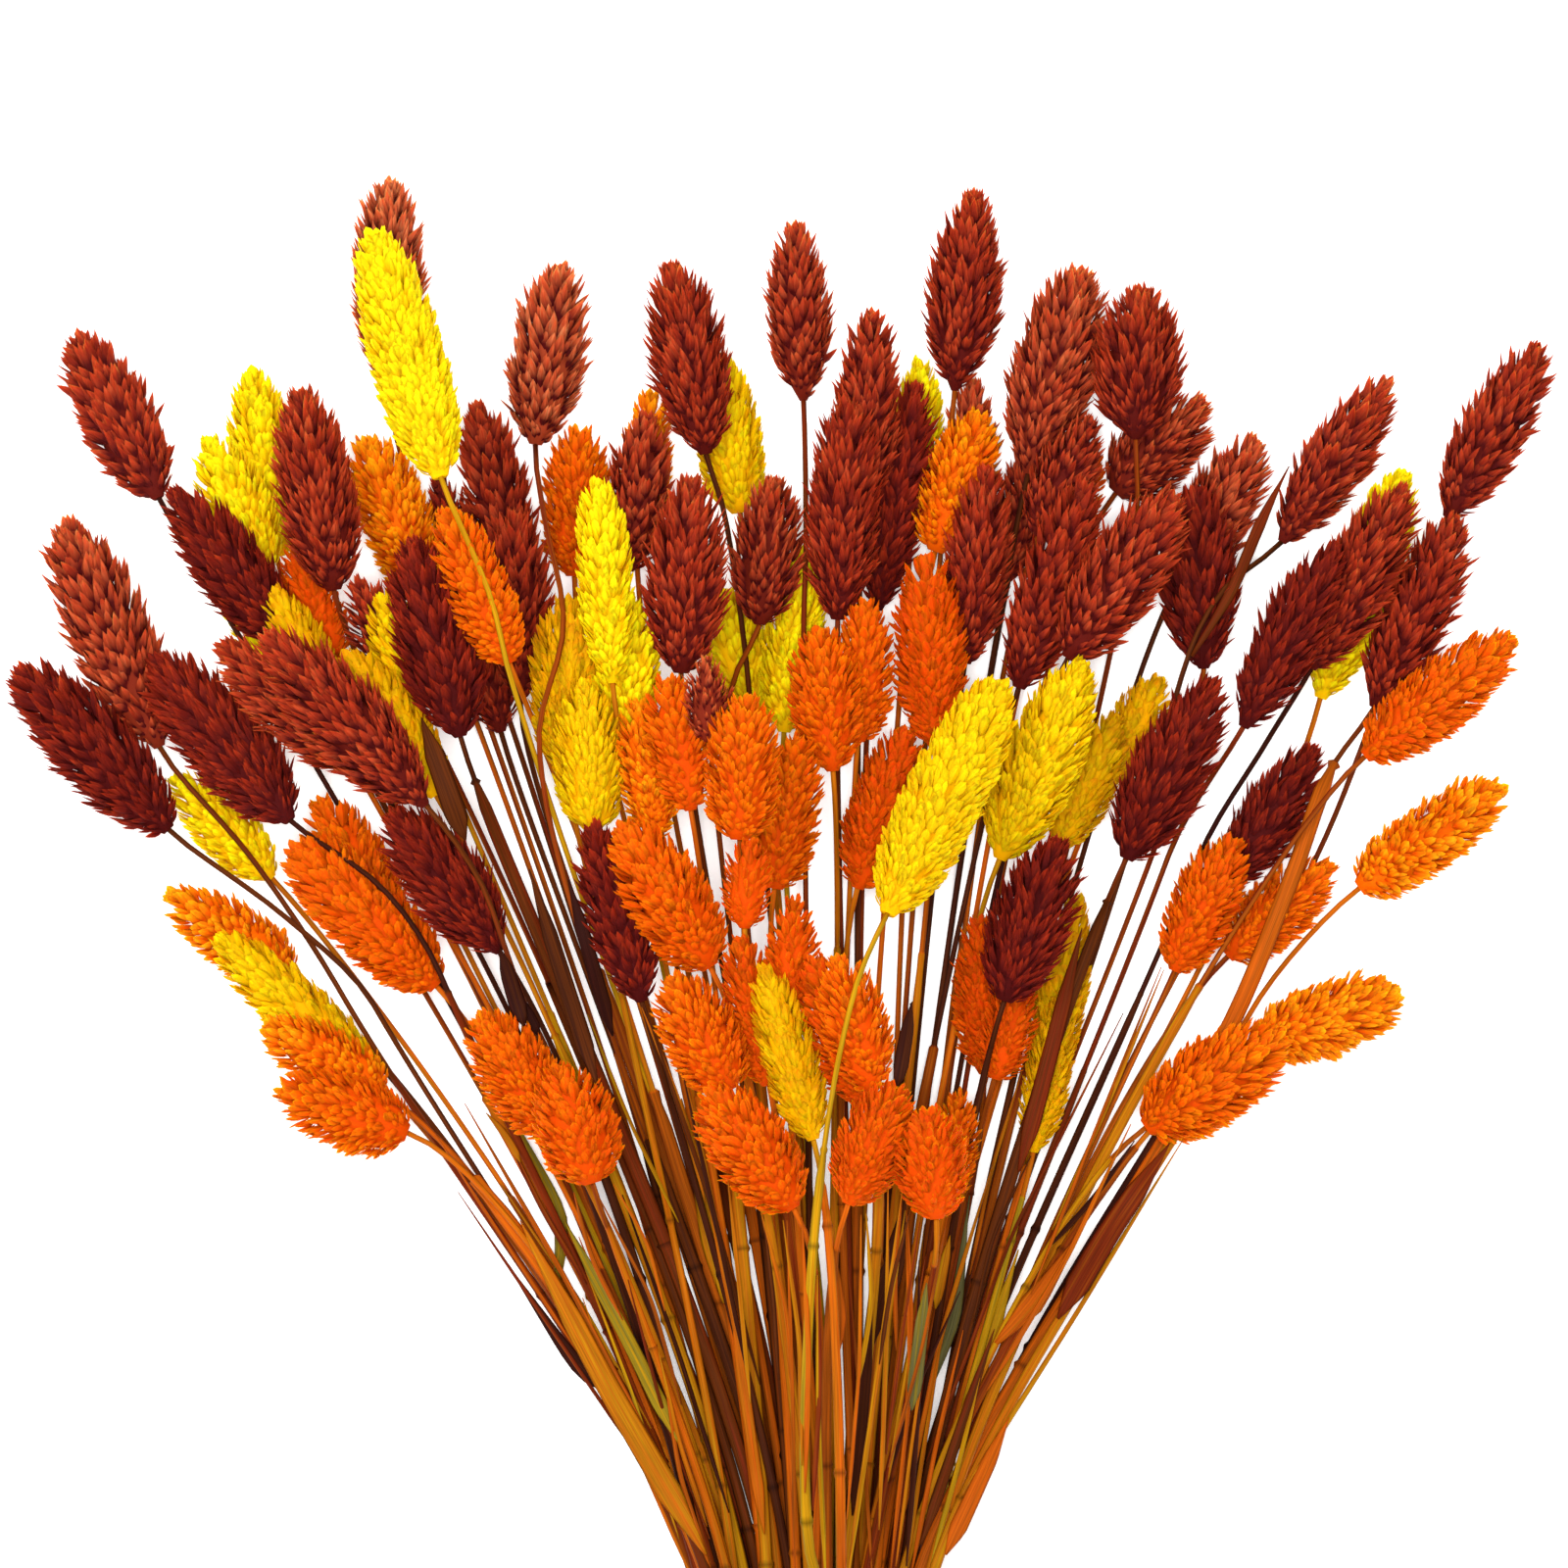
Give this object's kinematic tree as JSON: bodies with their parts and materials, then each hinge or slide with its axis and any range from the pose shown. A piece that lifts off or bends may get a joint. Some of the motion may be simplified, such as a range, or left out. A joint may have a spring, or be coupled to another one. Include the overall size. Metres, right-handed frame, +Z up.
{
  "type": "dried canary grass bunch",
  "caption": "Loose bunch of dried, dyed canary grass lying on a surface: oval scaly seed heads in red, orange and yellow fan out on thin sheathed stems that are cut straight.",
  "frame": {"origin": "on the surface that the bunch lies on, under the lowest middle stem at the waist, where the fan begins", "axes": "+Z up from the surface, +Y along the stems from the waist towards the seed heads, +X across the fan to the right of a viewer who looks down with the heads at the top"},
  "size_m": [0.3125, 0.403, 0.0892],
  "materials": {
    "red_grass": "matt dry scales, dark red dye with brown and plum tints",
    "orange_grass": "matt dry scales, bright orange dye",
    "yellow_grass": "matt dry scales, strong yellow dye"
  },
  "bodies": {
    "root": {"red_spray_01": "red_grass", "yellow_spray_01": "yellow_grass", "orange_spray_01": "orange_grass", "red_spray_02": "red_grass", "red_spray_03": "red_grass", "yellow_spray_02": "yellow_grass", "red_spray_04": "red_grass", "red_spray_05": "red_grass", "orange_spray_02": "orange_grass", "yellow_spray_03": "yellow_grass", "red_spray_06": "red_grass", "yellow_spray_04": "yellow_grass", "yellow_spray_05": "yellow_grass", "red_spray_07": "red_grass", "yellow_spray_06": "yellow_grass", "red_spray_08": "red_grass", "red_spray_09": "red_grass", "red_spray_10": "red_grass", "orange_spray_03": "orange_grass", "red_spray_11": "red_grass", "red_spray_12": "red_grass", "red_spray_13": "red_grass", "red_spray_14": "red_grass", "red_spray_15": "red_grass", "yellow_spray_07": "yellow_grass", "red_spray_16": "red_grass", "red_spray_17": "red_grass", "orange_spray_04": "orange_grass", "orange_spray_05": "orange_grass", "orange_spray_06": "orange_grass", "yellow_spray_08": "yellow_grass", "red_spray_18": "red_grass", "orange_spray_07": "orange_grass", "orange_spray_08": "orange_grass", "yellow_spray_09": "yellow_grass", "yellow_spray_10": "yellow_grass", "orange_spray_09": "orange_grass", "red_spray_19": "red_grass", "red_spray_20": "red_grass", "orange_spray_10": "orange_grass", "red_spray_21": "red_grass", "orange_spray_11": "orange_grass", "orange_spray_12": "orange_grass", "orange_spray_13": "orange_grass", "yellow_spray_11": "yellow_grass", "red_spray_22": "red_grass", "red_spray_23": "red_grass", "orange_spray_14": "orange_grass", "red_spray_24": "red_grass", "orange_spray_15": "orange_grass", "orange_spray_16": "orange_grass", "orange_spray_17": "orange_grass", "orange_spray_18": "orange_grass", "orange_spray_19": "orange_grass", "orange_spray_20": "orange_grass", "orange_spray_21": "orange_grass", "yellow_spray_12": "yellow_grass"}
  },
  "joints": []
}
